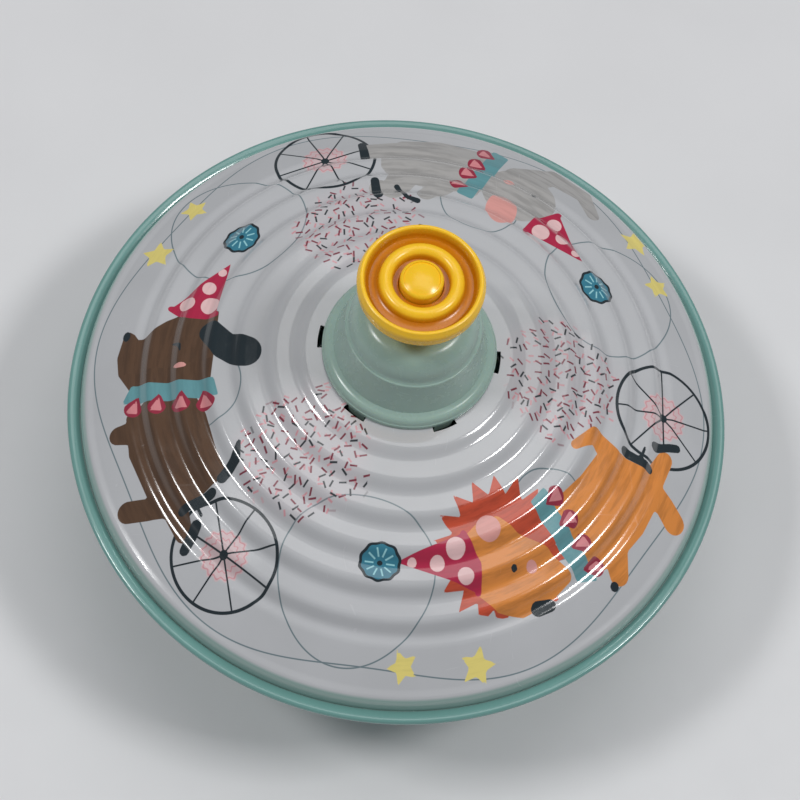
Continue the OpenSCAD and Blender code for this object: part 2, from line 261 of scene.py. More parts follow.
def lay_out_crown(mesh, profile, under_rows):
    """Bake map: the outer face fills the picture as a disc, radius by length along the profile, and
    the under face is a small disc in the corner."""
    step = np.hypot(*np.diff(profile, axis=0).T)
    along = np.concatenate([[0], np.cumsum(step)])
    total = along[under_rows - 1] + CROWN_HOLE
    from_hole = np.where(np.arange(len(profile)) < under_rows, along, along[-1] - along) + CROWN_HOLE
    corners = np.empty(len(mesh.loops), int)
    mesh.loops.foreach_get("vertex_index", corners)
    row, column = corners // CROWN_CELLS, corners % CROWN_CELLS
    sizes = np.empty(len(mesh.polygons), int)
    mesh.polygons.foreach_get("loop_total", sizes)
    face_of = np.repeat(np.arange(len(sizes)), sizes)
    firsts = np.cumsum(sizes) - sizes
    highest, lowest = np.maximum.reduceat(row, firsts), np.minimum.reduceat(row, firsts)
    outside = ((lowest >= under_rows - 1) & (highest >= under_rows))[face_of]
    length = np.where(outside & (row < under_rows), total + TIN, from_hole[row])
    large, small = 0.494, 0.083  # the discs' radii, as shares of the picture
    radius = length * np.where(outside, large, small) / (total + 1)
    centre = np.where(outside, 0.5, 0.914)
    angle = TAU * column / CROWN_CELLS
    layer = mesh.uv_layers.new(name="OFBake")
    places = np.stack([centre + radius * np.cos(angle), centre + radius * np.sin(angle)], 1)
    layer.data.foreach_set("uv", places.ravel())


# -------------------- the print on the crown
# Each figure's places: degrees from +X to its wheel's hub and the hub's radius, then the pompon,
# the middle of its patch of paper strips, its two stars, and the hoop round its hat, as degrees
# clockwise from the wheel and a radius. The hoop has its own size last. A wheel's radial size is
# its width times squash.
FIGURES = {
    "dog": {"wheel": (228, 68.4), "squash": 0.92, "pompon": (88.5, 58.5), "patch": (1, 37.6),
            "hoop": (91, 63, 18.5), "stars": ((77, 77.2), (90, 78.3))},
    "lion": {"wheel": (353, 70.4), "squash": 1.0, "pompon": (90, 54.5), "patch": (0, 39.8),
             "hoop": (95.5, 59, 19.6), "stars": ((69, 79), (83, 77.5))},
    "elephant": {"wheel": (108, 71.5), "squash": 0.95, "pompon": (81, 58.5), "patch": (0, 41.5),
                 "hoop": (84, 61.3, 18.8), "stars": ((72, 82.5), (83, 79))},
}
LOOP = (40, 54.5, 11)  # a small hoop behind each figure's collar
POMPON_SQUASH = 0.85  # radial size of a pompon against its width
WHEEL_R, POMPON_R, PATCH_R = 14.0, 5.1, 16.3
FAR = 9.0  # distance to a colour area where there is none near
LAYERS = ("star", "grey", "brown", "mane", "orange", "pink", "ruff", "plum", "rose", "hat", "spots",
          "pompon", "dark")


class Print:
    """Colour areas on the crown as distances to their edges, in millimetres seen from above, and
    negative inside. A figure's places are degrees clockwise from its wheel, and a radius."""

    def __init__(self, x, y):
        self.x, self.y = x, y
        self.areas = {name: np.full(x.shape, FAR) for name in LAYERS}

    def at(self, after, radius):
        """The point at that place."""
        way = math.radians(self.wheel - after)
        return np.array([radius * math.cos(way), radius * math.sin(way)])

    def add(self, area, *distances):
        for distance in distances:
            np.minimum(self.areas[area], distance, out=self.areas[area])

    def cut(self, area, distance):
        np.maximum(self.areas[area], -distance, out=self.areas[area])

    def disc(self, centre, radius):
        return np.hypot(self.x - centre[0], self.y - centre[1]) - radius

    def oval(self, centre, radii, lean):
        """Ellipse whose first radius points `lean` degrees from +X; distance to first order."""
        c, s = math.cos(math.radians(lean)), math.sin(math.radians(lean))
        u, v = self.x - centre[0], self.y - centre[1]
        u, v = (u * c + v * s) / radii[0], (v * c - u * s) / radii[1]
        share = np.hypot(u, v)
        return share * (share - 1) / np.maximum(np.hypot(u / radii[0], v / radii[1]), 1e-6)

    def limb(self, start, end, start_r, end_r):
        """Rounded bar from one point to another, its radius changing evenly."""
        along = end - start
        u, v = self.x - start[0], self.y - start[1]
        share = np.clip((u * along[0] + v * along[1]) / (along @ along), 0, 1)
        radius = start_r + (end_r - start_r) * share
        return np.hypot(u - share * along[0], v - share * along[1]) - radius

    def bent(self, points, radii):
        """Limbs end to end."""
        return np.minimum.reduce([self.limb(a, b, p, q) for a, b, p, q in
                                  zip(points, points[1:], radii, radii[1:])])

    def facet(self, points):
        """Polygon: distance to the nearest edge, negative where a ray crosses edges an odd number
        of times."""
        nearest = np.full(self.x.shape, 1e9)
        inside = np.zeros(self.x.shape, bool)
        for a, b in zip(points, np.roll(points, -1, 0)):
            nearest = np.minimum(nearest, self.limb(a, b, 0, 0))
            with np.errstate(divide="ignore", invalid="ignore"):
                meets = a[0] + (self.y - a[1]) * (b[0] - a[0]) / (b[1] - a[1])
            inside ^= ((a[1] > self.y) != (b[1] > self.y)) & (self.x < meets)
        return np.where(inside, -nearest, nearest)

    def spiked(self, centre, inner, outer, count, turn):
        """Star of `count` points, the first `turn` degrees from +X."""
        angle = math.radians(turn) + math.pi * np.arange(2 * count) / count
        radius = np.where(np.arange(2 * count) % 2, inner, outer)
        return self.facet(centre + np.stack([radius * np.cos(angle), radius * np.sin(angle)], 1))

    def begin(self, figure):
        """Places from here on are measured from this figure's wheel."""
        self.places = FIGURES[figure]
        self.wheel = self.places["wheel"][0]

    # ---- what all three figures wear
    def ruff(self, outer, inner, inner_hem, outer_hem):
        """A flared collar between four corners: a plain band over scallops, each with a pale
        triangle pointing up."""
        corners = [self.at(*place) for place in (outer, inner, inner_hem, outer_hem)]

        def spot(across, down):
            top = corners[0] * (1 - across) + corners[1] * across
            hem = corners[3] * (1 - across) + corners[2] * across
            return top * (1 - down) + hem * down

        self.add("ruff", self.facet([spot(0, 0), spot(1, 0), spot(1, 0.55), spot(0, 0.55)]) - 0.5)
        scallops = 4
        for i in range(scallops):
            middle, half = (i + 0.5) / scallops, 0.5 / scallops
            self.add("plum", self.bent([spot(middle, 0.38), spot(middle, 0.78)], [0.3, 2.5]))
            self.add("rose", self.facet([spot(middle, 0.46), spot(middle - half * 0.52, 0.98),
                                         spot(middle + half * 0.52, 0.98)]))

    def hat(self, inner, outer, tip):
        """A cone of spotted paper on a curved brim, with its tip at the pompon."""
        low, high, end = self.at(*inner), self.at(*outer), self.at(*tip)
        middle = (low + high) / 2
        sag = middle - (end - middle) * 0.10
        self.add("hat", self.facet([low, sag, high, end]), self.limb(low, sag, 0.8, 0.8),
                 self.limb(sag, high, 0.8, 0.8))
        for share, side, size in ((0.16, -0.58, 2.5), (0.12, 0.52, 2.1), (0.46, 0.1, 1.9),
                                  (0.80, 0.2, 1.2)):
            spread = (high - low) / 2 * (1 - share) * side
            self.add("spots", self.disc(middle + (end - middle) * share + spread, size))
        self.cut("spots", -self.areas["hat"])
        after, radius = self.places["pompon"]
        self.add("pompon", self.oval(self.at(after, radius), (POMPON_R * POMPON_SQUASH, POMPON_R),
                                     self.wheel - after))

    def shoe(self, heel, toe, width):
        """A flat shoe set across a leg."""
        self.add("dark", self.limb(self.at(*heel), self.at(*toe), width, width * 0.85))

    # ---- the animals
    def dog(self):
        self.begin("dog")
        at = self.at
        head = [at(62.5, 52), at(42, 52), at(41.5, 60), at(43, 71), at(48.3, 75), at(52, 75.8),
                at(57.2, 75.0), at(56.6, 73.6), at(55.2, 72), at(55.6, 69.6), at(59.6, 64.4),
                at(62.5, 60)]
        body = [at(32, 54.6), at(22, 55.2), at(15, 55.8), at(14.2, 58), at(14.6, 68.5), at(18.4, 74),
                at(30, 74.4), at(38, 73.2), at(41, 66), at(40, 57)]
        self.add("brown", self.facet(head) - 0.9, self.facet(body) - 0.8,
                 self.bent([at(34.4, 71.5), at(35.2, 76.6)], [3.6, 2.5]),
                 self.bent([at(17, 70), at(18.2, 75.6), at(20.2, 80.4)], [4.4, 2.8, 2.8]),
                 self.bent([at(15.5, 70), at(9.5, 71.8)], [3.4, 2.3]))
        self.add("dark", self.bent([at(57.0, 52.2), at(51.8, 47.6), at(48.6, 42.2)], [2.9, 3.8, 4.3]),
                 self.oval(at(56.8, 75.2), (1.0, 1.5), self.wheel - 56),
                 self.bent([at(54.0, 61.8), at(53.4, 60.0), at(51.7, 59.6)], [0.3, 0.5, 0.3]),
                 self.bent([at(19.3, 48.9), at(15.2, 52.0), at(13.4, 57)], [0.5, 1.4, 1.3]),
                 self.bent([at(12.6, 65.6), at(9.6, 66.0)], [0.5, 0.4]))
        self.shoe((12.2, 61.0), (13.4, 69.0), 1.3)
        self.shoe((8.8, 68.6), (6.9, 74.2), 1.5)
        self.add("pink", self.oval(at(47.4, 59.2), (1.7, 0.75), self.wheel - 47))
        self.ruff((44.7, 71.8), (41.0, 50.8), (32.2, 50.2), (39.4, 76.0))
        self.hat((62.4, 52.0), (63.6, 65.0), (80.0, 55.4))

    def lion(self):
        self.begin("lion")
        at = self.at
        face = [at(66.3, 51.5), at(66, 61), at(62, 67.5), at(57.5, 70.3), at(51.5, 70.0),
                at(45.6, 68.5), at(47.2, 61), at(52.5, 54), at(55.5, 49.0), at(60, 48.5)]
        body = [at(41, 53), at(35, 54), at(26, 55), at(17, 56.2), at(15, 61), at(15, 70),
                at(19, 73.6), at(26, 73.8), at(34, 73.2), at(41, 71)]
        self.add("mane", self.spiked(at(56.8, 56.2), 13.6, 18.4, 19, 5))
        self.cut("mane", self.facet([at(78, 66), at(68, 67.6), at(62, 70), at(54, 72.0), at(46, 72),
                                     at(46, 80), at(78, 82)]))
        self.add("orange", self.facet(face) - 1.4, self.facet(body) - 1.2,
                 self.bent([at(17, 60), at(13.4, 52.6), at(19.4, 48.8)], [3.0, 2.1, 1.3]),
                 self.bent([at(17.5, 71.5), at(18.2, 76.5), at(19.8, 80.8)], [4.0, 3.0, 3.1]),
                 self.bent([at(16.5, 71), at(9.4, 72.6)], [3.2, 2.3]),
                 self.bent([at(33.2, 72), at(35.8, 76.6)], [3.6, 2.7]))
        self.add("pink", self.disc(at(58.6, 49.6), 3.2), self.disc(at(51.6, 62.0), 1.5))
        self.add("dark", self.bent([at(54.2, 71.3), at(51.6, 71.9)], [1.9, 1.6]),
                 self.disc(at(55.9, 60.5), 0.85), self.disc(at(38.0, 77.8), 1.25),
                 self.bent([at(12.6, 65.8), at(9.4, 66.4)], [0.5, 0.4]))
        self.shoe((12.6, 61.5), (13.2, 69.2), 1.3)
        self.shoe((7.6, 69.2), (5.6, 75.4), 1.3)
        self.ruff((43.4, 70.9), (42.8, 49.6), (33.4, 49.0), (38.0, 75.2))
        self.hat((66.2, 48.9), (65.8, 62.9), (85.6, 53.9))

    def elephant(self):
        self.begin("elephant")
        at = self.at
        body = [at(37, 58), at(30, 58), at(22, 57.5), at(16, 60), at(13.5, 65), at(14, 71), at(18, 76),
                at(26, 77.5), at(34, 77), at(39, 76)]
        self.add("grey", self.facet(body) - 1.4, self.disc(at(47.5, 65.5), 11.0),
                 self.bent([at(45.5, 73), at(50.5, 80.8), at(58, 81.6), at(62.5, 77.5)],
                           [5.2, 3.4, 2.6, 2.0]),
                 self.bent([at(18, 60), at(14, 53.2), at(10.6, 55.0)], [4.4, 3.4, 3.0]),
                 self.bent([at(18, 72), at(10.8, 72.6)], [4.8, 3.3]),
                 self.bent([at(29, 58), at(24, 52.6)], [3.2, 2.7]))
        self.add("pink", self.oval(at(46.2, 56.0), (6.2, 4.4), self.wheel - 30),
                 self.disc(at(43.6, 69.0), 1.8))
        self.add("dark", self.disc(at(50.6, 68.2), 0.85),
                 self.bent([at(15.5, 55.5), at(18, 50.4), at(21.5, 49.2)], [0.8, 0.6, 0.9]))
        self.shoe((9.2, 69.4), (9.2, 76.0), 1.4)
        self.shoe((9.4, 51.6), (9.6, 58.0), 1.4)
        self.ruff((40.4, 79.4), (37.0, 56.0), (30.0, 57.4), (35.2, 81.6))
        self.hat((55.6, 53.9), (58.4, 67.0), (73.0, 59.4))

    def stars(self):
        for figure in FIGURES:
            self.begin(figure)
            large, small = self.places["stars"]
            self.add("star", self.spiked(self.at(*large), 2.3, 5.0, 5, 12),
                     self.spiked(self.at(*small), 2.0, 4.3, 5, 40))


def print_crown(mesh, under_rows):
    """Stores each colour area's distance on the crown's outer face. The under face gets none."""
    places = np.empty(len(mesh.vertices) * 3)
    mesh.vertices.foreach_get("co", places)
    x, y, _ = places.reshape(-1, 3).T / MM
    sheet = Print(x, y)
    for draw in (sheet.dog, sheet.lion, sheet.elephant, sheet.stars):
        draw()
    hidden = np.arange(len(x)) < under_rows * CROWN_CELLS
    for name, distance in sheet.areas.items():
        mesh.attributes.new(name, "FLOAT", "POINT").data.foreach_set(
            "value", np.where(hidden, FAR, distance).astype(np.float32))
    bare = mesh.attributes.new("bare", "FLOAT", "POINT")
    bare.data.foreach_set("value", hidden.astype(np.float32))


# -------------------- materials
class Finish:
    """Builds one material's nodes. Most methods add nodes and give back the output to link on."""

    def __init__(self, name):
        self.material = bpy.data.materials.new(name)
        self.material.use_nodes = True
        self.tree = self.material.node_tree
        self.tree.nodes.clear()
        self.shader = self.node("BsdfPrincipled")
        self.node("OutputMaterial", self.shader.outputs[0])
        # Object coordinates, turned into millimetres
        place = self.node("TexCoord").outputs["Object"]
        self.place = self.vector("SCALE", place, scale=1 / MM)
        self.x, self.y, self.z = self.split(self.place)

    def put(self, socket, value):
        """A number, a colour or another node's output goes on a socket."""
        if isinstance(value, bpy.types.NodeSocket):
            self.tree.links.new(value, socket)
        elif value is not None:
            socket.default_value = (*value, 1) if socket.type == "RGBA" and len(value) == 3 else value

    def node(self, kind, *values, **settings):
        """A new node with these settings, and these values on its first sockets."""
        node = self.tree.nodes.new("ShaderNode" + kind)
        for name, value in settings.items():
            setattr(node, name, value)
        for socket, value in zip(node.inputs, values):
            self.put(socket, value)
        return node

    def maths(self, operation, *values):
        return self.node("Math", *values, operation=operation).outputs[0]

    def plus(self, first, second):
        return self.maths("ADD", first, second)

    def minus(self, first, second):
        return self.maths("SUBTRACT", first, second)

    def times(self, first, second):
        return self.maths("MULTIPLY", first, second)

    def vector(self, operation, *values, scale=None):
        node = self.node("VectorMath", *values, operation=operation)
        if scale is not None:
            self.put(node.inputs["Scale"], scale)
        return node.outputs["Value" if operation in ("LENGTH", "DISTANCE") else "Vector"]

    def split(self, vector):
        return self.node("SeparateXYZ", vector).outputs

    def combined(self, *values):
        return self.node("CombineXYZ", *values).outputs[0]

    def turned(self, vector, angle):
        """A vector turned about Z by an angle in radians."""
        node = self.node("VectorRotate", vector, rotation_type="Z_AXIS")
        self.put(node.inputs["Angle"], angle)
        return node.outputs[0]

    def noise(self, size, detail=2, rough=0.5, at=None, stretch=None):
        """Noise from 0 to 1 whose features are about `size` millimetres."""
        at = self.place if at is None else at
        if stretch:
            at = self.vector("MULTIPLY", at, stretch)
        node = self.node("TexNoise", at)
        for name, value in (("Scale", 1 / size), ("Detail", detail), ("Roughness", rough)):
            node.inputs[name].default_value = value
        return node.outputs["Fac"]

    def between(self, value, low, high, to_low=0.0, to_high=1.0):
        """value carried from low..high to to_low..to_high, and held at the ends."""
        return self.node("MapRange", value, low, high, to_low, to_high).outputs[0]

    def under(self, distance, soft=0.07):
        """1 where a distance is negative, with an edge `soft` millimetres wide each way."""
        return self.between(distance, soft, -soft)

    def stored(self, name):
        return self.node("Attribute", attribute_name=name).outputs["Fac"]

    def mix(self, share, first, second):
        """A colour between two."""
        node = self.node("Mix", share, data_type="RGBA")
        self.put(node.inputs[6], first)
        self.put(node.inputs[7], second)
        return node.outputs[2]

    def bump(self, height, depth, below=None):
        """A normal from a height of 0 to 1 that stands for `depth` millimetres."""
        node = self.node("Bump")
        node.inputs["Strength"].default_value = 1
        node.inputs["Distance"].default_value = depth * MM
        self.put(node.inputs["Height"], height)
        self.put(node.inputs["Normal"], below)
        return node.outputs[0]

    def round_place(self):
        """(angle, radius) about Z."""
        flat = self.combined(self.x, self.y)
        return self.maths("ARCTAN2", self.y, self.x), self.vector("LENGTH", flat)

    def line(self, distance, width, soft=0.06):
        """1 on a line `width` millimetres wide where a distance is 0."""
        return self.under(self.minus(self.maths("ABSOLUTE", distance), width / 2), soft)

    def folded(self, turn, count, start=0.0):
        """An angle measured from the middle of the one of `count` equal parts that it is in."""
        part = TAU / count
        ahead = self.plus(turn, TAU + start)
        return self.minus(self.maths("MODULO", ahead, part), part / 2)

    def scratches(self, size, stretch, amount):
        """Thin rough lines, here and there, where a stretched noise crosses its middle."""
        long_noise = self.noise(size, 1, 0.4, stretch=stretch)
        crossing = self.maths("ABSOLUTE", self.minus(long_noise, 0.5))
        worn = self.between(self.noise(size * 0.4, 2), 0.50, 0.62, 0.0, amount)
        return self.times(self.under(self.minus(crossing, 0.004), 0.003), worn)

    def finish(self, **sockets):
        for name, value in sockets.items():
            self.put(self.shader.inputs[name.replace("_", " ")], value)
        return self.material


def varnished(name, paint, tin=None):
    """Gloss varnish on printed tinplate: slow waves of the sheet, a fine grain in the varnish and
    hairline scratches in the gloss. `paint` gives the colour from the Finish, and the attribute
    named by `tin`, if any, is 1 where the sheet is bare metal."""
    f = Finish(name)
    colour = paint(f)
    waves = f.bump(f.noise(17, 2), 0.10)
    grain = f.bump(f.noise(0.9, 2), 0.004, waves)
    scratch = f.plus(f.scratches(14, (1, 0.12, 0.3), 0.14), f.scratches(11, (0.1, 1, 0.3), 0.11))
    rough = f.plus(f.between(f.noise(6, 3), 0.3, 0.7, 0.13, 0.21), scratch)
    return f.finish(Base_Color=colour, Roughness=rough, Normal=grain,
                    Metallic=f.times(f.stored(tin), 0.9) if tin else 0.0,
                    Coat_Weight=0.6, Coat_Roughness=0.05, Coat_IOR=1.5)


WHITE_GROUND = (0.50, 0.508, 0.525)
TEAL = (0.15, 0.32, 0.295)
RIM_TEAL = (0.27, 0.39, 0.36)
INK = (0.012, 0.022, 0.028)
BARE_TIN = (0.55, 0.55, 0.54)
AREA_COLOURS = {
    "star": (0.78, 0.66, 0.20), "grey": (0.40, 0.39, 0.38), "brown": (0.100, 0.052, 0.028),
    "orange": (0.70, 0.25, 0.050), "mane": (0.55, 0.075, 0.032), "pink": (0.70, 0.33, 0.30),
    "ruff": (0.12, 0.30, 0.33), "rose": (0.66, 0.24, 0.26), "plum": (0.30, 0.022, 0.050),
    "hat": (0.42, 0.016, 0.060), "spots": (0.78, 0.52, 0.52), "pompon": (0.035, 0.19, 0.27),
    "dark": INK,
}
# paper strips, the ones on top first: cell, half length, half width, share of cells with a strip
STROKES = ((2.5, 0.95, 0.24, 0.92), (2.3, 0.70, 0.24, 0.62))
WIRE = (0.10, 0.16, 0.18)
DOILY = (0.72, 0.45, 0.46)


def crown_paint(f):
    """The crown's print, bottom layer first: pale ground, wires, paper strips, wheels, then the
    colour areas stored on the mesh, line work on the pompons and a band at the rim."""
    angle, radius = f.round_place()
    flat = f.combined(f.x, f.y)

    def spot(figure, name):
        """A figure's place as a point."""
        wheel = FIGURES[figure]["wheel"]
        after, at = {"wheel": (0, wheel[1]), "loop": LOOP[:2]}.get(name) or FIGURES[figure][name][:2]
        way = math.radians(wheel[0] - after)
        return (at * math.cos(way), at * math.sin(way), 0)

    def about(figure, name, squash=1.0):
        """(distance, angle) measured from a figure's place, with radial lengths as they are on the
        slope when `squash` is how much shorter they look from above."""
        place = spot(figure, name)
        local = f.turned(f.vector("SUBTRACT", flat, place), -math.atan2(place[1], place[0]))
        local = f.vector("MULTIPLY", local, (1 / squash, 1, 1))
        x, y, _ = f.split(local)
        return f.vector("LENGTH", local), f.maths("ARCTAN2", y, x)

    def rays(distance, turn, count, width, start=0.0):
        """Straight lines from a middle."""
        aside = f.maths("SINE", f.folded(turn, count, start))
        return f.line(f.times(distance, aside), width)

    def petalled(distance, turn, at, swing, count):
        """Distance to a round edge at radius `at` with `count` petals."""
        wave = f.times(f.maths("COSINE", f.times(turn, float(count))), swing)
        return f.minus(f.minus(distance, at), wave)

    # ground, a little uneven as a thin white coat on tin is
    colour = f.mix(f.between(f.noise(24, 3), 0.35, 0.65), WHITE_GROUND,
                   tuple(c * 0.94 for c in WHITE_GROUND))

    # a wire near the rim, radius 80.6 + 2.4 cos(6 angle + 0.7), a hoop round each hat, and a loop
    wave = f.maths("COSINE", f.plus(f.times(angle, 6.0), 0.7))
    reach = f.minus(f.minus(radius, 80.6), f.times(wave, 2.4))
    wires = f.line(reach, 0.34)
    for figure, places in FIGURES.items():
        distance, turn = about(figure, "hoop")
        hoop = petalled(distance, turn, places["hoop"][2], 0.7, 3)
        wires = f.maths("MAXIMUM", wires, f.line(hoop, 0.36))
        distance, _ = about(figure, "loop")
        wires = f.maths("MAXIMUM", wires, f.line(f.minus(distance, LOOP[2]), 0.34))
    colour = f.mix(f.times(wires, 0.85), colour, WIRE)

    def in_patch(at, soft):
        """1 inside the three patches, whose edges are ragged by some millimetres."""
        rag = f.times(f.minus(f.noise(9, 2, at=at), 0.5), 12.0)
        nearest = f.vector("DISTANCE", at, spot("dog", "patch"))
        for figure in ("lion", "elephant"):
            nearest = f.maths("MINIMUM", nearest, f.vector("DISTANCE", at, spot(figure, "patch")))
        return f.under(f.minus(f.plus(nearest, rag), PATCH_R), soft)

    # patches of loose paper strips: one whole strip in each cell, at its own angle
    colour = f.mix(f.times(in_patch(flat, 2.5), 0.12), colour, (0.70, 0.50, 0.55))
    for pitch, long, wide, share in reversed(STROKES):
        cells = f.node("TexVoronoi", flat, voronoi_dimensions="2D")
        cells.inputs["Scale"].default_value = 1 / pitch
        cells.inputs["Randomness"].default_value = 0.85
        own = f.split(cells.outputs["Color"])
        middle = cells.outputs["Position"]
        off = f.turned(f.vector("SUBTRACT", flat, middle), f.times(own[0], TAU))
        across, along, _ = f.split(off)
        strip = f.maths("MAXIMUM", f.minus(f.maths("ABSOLUTE", across), long),
                        f.minus(f.maths("ABSOLUTE", along), wide))
        shown = f.times(f.under(strip, 0.08), in_patch(middle, 0.2))
        tone = (0.60, 0.30, 0.33)
        if pitch == STROKES[0][0]:
            red = f.maths("GREATER_THAN", own[1], 0.6)
            tone = f.mix(red, (0.20, 0.035, 0.055), (0.030, 0.036, 0.042))
        colour = f.mix(f.times(shown, f.maths("LESS_THAN", own[2], share)), colour, tone)

    # wheels: doily, eight spokes, tyre and hub
    for figure in FIGURES:
        distance, turn = about(figure, "wheel", FIGURES[figure]["squash"])
        doily = petalled(distance, turn, 6.3, 0.4, 16)
        colour = f.mix(f.times(f.under(doily), 0.55), colour, DOILY)
        for at, swing in ((5.7, 0.35), (3.8, 0.3)):
            edge = f.line(petalled(distance, turn, at, swing, 16), 0.4)
            colour = f.mix(f.times(edge, 0.65), colour, (0.60, 0.20, 0.23))
        spokes = f.times(rays(distance, turn, 8, 0.46, 0.3), f.under(f.minus(distance, WHEEL_R)))
        tyre = f.line(f.minus(distance, WHEEL_R), 0.85)
        nave = f.under(f.minus(distance, 1.15))
        colour = f.mix(f.maths("MAXIMUM", f.maths("MAXIMUM", spokes, tyre), nave), colour, INK)

    # colour areas, each with a dry-brush streak of its own darker tone
    streak = f.between(f.noise(1.6, 3, 0.6, at=f.combined(f.times(angle, 9.0), radius)),
                       0.45, 0.62)
    for name in LAYERS:
        tone = AREA_COLOURS[name]
        dark = tuple(c * 0.72 for c in tone)
        body = name in ("grey", "brown", "orange", "mane")
        fill = f.mix(f.times(streak, 0.8 if body else 0.3), tone, dark)
        colour = f.mix(f.under(f.stored(name)), colour, fill)

    # petals and outline on the pompons
    for figure in FIGURES:
        distance, turn = about(figure, "pompon", POMPON_SQUASH)
        petal = f.times(rays(distance, turn, 10, 0.42), f.line(f.minus(distance, 2.7), 2.2, 0.07))
        colour = f.mix(f.times(petal, 0.85), colour, (0.34, 0.66, 0.70))
        edge = f.line(petalled(distance, turn, POMPON_R - 0.1, 0.15, 10), 0.75)
        button = f.under(f.minus(distance, 0.7))
        colour = f.mix(f.maths("MAXIMUM", edge, button), colour, INK)

    colour = f.mix(f.between(radius, 84.6, 85.2), colour, RIM_TEAL)
    return f.mix(f.stored("bare"), colour, BARE_TIN)


def bowl_paint(f):
    """Teal ground with a pale line and a ring of small stars under the rim."""
    angle, radius = f.round_place()
    colour = f.mix(f.between(f.noise(26, 3), 0.35, 0.65), TEAL, tuple(c * 0.9 for c in TEAL))
    pale = (0.60, 0.66, 0.64)
    for at in (79.5, 64.0):
        colour = f.mix(f.line(f.minus(radius, at), 0.9, 0.07), colour, pale)
    star_x = f.times(f.folded(angle, 18), radius)
    star_y = f.minus(radius, 71.8)
    star_r = f.vector("LENGTH", f.combined(star_x, star_y))
    ray = f.maths("ABSOLUTE", f.folded(f.maths("ARCTAN2", star_x, star_y), 5, TAU / 10))
    # straight star edge: r cos(ray) + 1.25 r sin(ray) is constant along it
    edge = f.plus(f.times(star_r, f.maths("COSINE", ray)),
                  f.times(f.times(star_r, 1.25), f.maths("SINE", ray)))
    return f.mix(f.under(f.minus(edge, 3.3)), colour, AREA_COLOURS["star"])


def moulded(name, colour, painted_shade=None, depth=None):
    """Gloss moulded plastic: faint flow marks, a fine skin, hairlines. Where the mask given last
    says, the colour goes to the colour given before it, a painted shade for recesses."""
    f = Finish(name)
    flow = f.between(f.noise(9, 3, stretch=(1, 1, 0.4)), 0.3, 0.7)
    base = f.mix(flow, colour, tuple(c * 0.93 for c in colour))
    if depth:
        base = f.mix(depth(f), base, painted_shade)
    skin = f.bump(f.noise(0.35, 2), 0.002, f.bump(f.noise(11, 2), 0.035))
    hair = f.plus(f.scratches(9, (1, 0.15, 0.6), 0.05), f.scratches(7, (0.2, 1, 0.5), 0.05))
    roughness = f.plus(f.between(f.noise(2.5, 3), 0.3, 0.7, 0.20, 0.30), hair)
    f.shader.inputs["Subsurface Radius"].default_value = (1.0, 0.6, 0.25)
    return f.finish(Base_Color=base, Roughness=roughness, Normal=skin, Subsurface_Weight=0.12,
                    Subsurface_Scale=0.002, IOR=1.49)


def steel(name, colour, rough, lengthwise=True):
    """Drawn or turned steel: fine tool lines round the axis or along it, and dull patches."""
    f = Finish(name)
    angle, radius = f.round_place()
    along, around = (1.0, 0.2) if lengthwise else (0.05, 3.0)
    lines = f.noise(0.35, 3, 0.6, at=f.combined(radius, f.times(f.z, along),
                                                f.times(angle, around)))
    patches = f.noise(4, 4, 0.6)
    base = f.mix(f.between(patches, 0.4, 0.7), colour, tuple(c * 0.78 for c in colour))
    uneven = f.times(f.plus(lines, patches), 0.5)
    roughness = f.between(uneven, 0.3, 0.7, *rough)
    return f.finish(Base_Color=base, Metallic=1.0, Roughness=roughness, Normal=f.bump(lines, 0.006))


# -------------------- pieces
def build_crown():
    """Crown: terraced slope on a flat seat with the lugs' slots, printed on its outer face."""
    vertices, faces, profile, under_rows = crown_mesh()
    material = varnished("crown print", crown_paint, "bare")
    piece = new_piece("crown", (vertices, faces), material, "top", "upper_shell")
    lay_out_crown(piece.data, profile, under_rows)
    print_crown(piece.data, under_rows)


def build_bowl():
    """Bowl: under face outwards, rolled seam over the crown's flange, inner face back inwards."""
    flange = [FLANGE_R, SEAM - 0.7]
    centre = [BODY_R - 1, SEAM + 0.3]
    outer = join(bowl_rows(8, 15, 8), flange)
    inner = sunk(join(bowl_rows(4, 6, 5), flange), -TIN)
    profile = join(outer, arc(centre, (1, 1), -90, 108, 14),
                   [BODY_R - 3.2, SEAM + 0.55], [BODY_R - 3.35, SEAM + 0.4],
                   [BODY_R - 3.3, SEAM + 0.12], arc(centre, (0.6, 0.6), 108, -90, 10), inner[::-1])
    material = varnished("bowl print", bowl_paint)
    new_piece("bowl", lathe(profile, 480), material, "top", "lower_shell")


